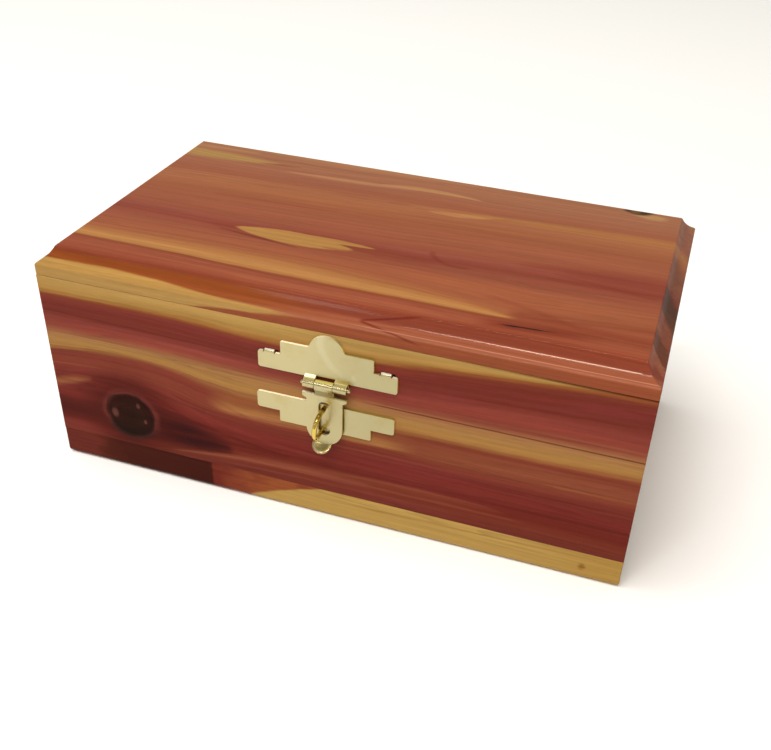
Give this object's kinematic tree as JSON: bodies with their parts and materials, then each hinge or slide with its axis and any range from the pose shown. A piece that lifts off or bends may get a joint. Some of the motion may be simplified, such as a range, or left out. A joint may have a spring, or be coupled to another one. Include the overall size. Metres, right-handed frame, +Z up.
{
  "type": "hinged wooden keepsake box",
  "caption": "Small rectangular box of solid red cedar with a coved lid on back hinges and a stamped brass hasp that folds down over a wire staple.",
  "frame": {"origin": "centre of the flat underside that the box rests on", "axes": "+X to the right along the front, +Y from the front to the back, +Z up"},
  "size_m": [0.2032, 0.1278, 0.0825],
  "materials": {
    "cedar_front": "red cedar with pale streaks and a knot, clear satin lacquer",
    "cedar_top": "orange-red cedar with pale streaks, clear satin lacquer",
    "cedar_wall": "red cedar, clear satin lacquer outside",
    "cedar_sapwood": "red cedar and pale sapwood, clear satin lacquer",
    "brass_plated": "bright brass-plated stamped sheet with a pale champagne tone",
    "brass_wire": "polished brass-plated wire"
  },
  "bodies": {
    "base": {"bottom_board": "cedar_sapwood", "base_front": "cedar_front", "base_back": "cedar_wall", "base_left": "cedar_wall", "base_right": "cedar_wall", "staple_plate": "brass_plated", "staple": "brass_wire", "hinge_base_leaf_left": "brass_plated", "hinge_base_leaf_right": "brass_plated", "hinge_pin_left": "brass_wire", "hinge_pin_right": "brass_wire"},
    "lid": {"top_board": "cedar_top", "lid_front": "cedar_front", "lid_back": "cedar_wall", "lid_left": "cedar_wall", "lid_right": "cedar_wall", "hasp_plate": "brass_plated", "hasp_pin": "brass_plated", "hinge_lid_leaf_left": "brass_plated", "hinge_lid_leaf_right": "brass_plated"},
    "strap": {"hasp_strap": "brass_plated"}
  },
  "joints": [
    {"name": "lid_hinge", "type": "hinge", "parent": "base", "child": "lid", "pos_m": [0, 0.0589, 0.05095], "axis": [-1, 0, 0], "range_deg": [0, 180]},
    {"name": "hasp_hinge", "type": "hinge", "parent": "lid", "child": "strap", "pos_m": [0.0008, -0.05915, 0.05545], "axis": [-1, 0, 0], "range_deg": [0, 175]}
  ]
}
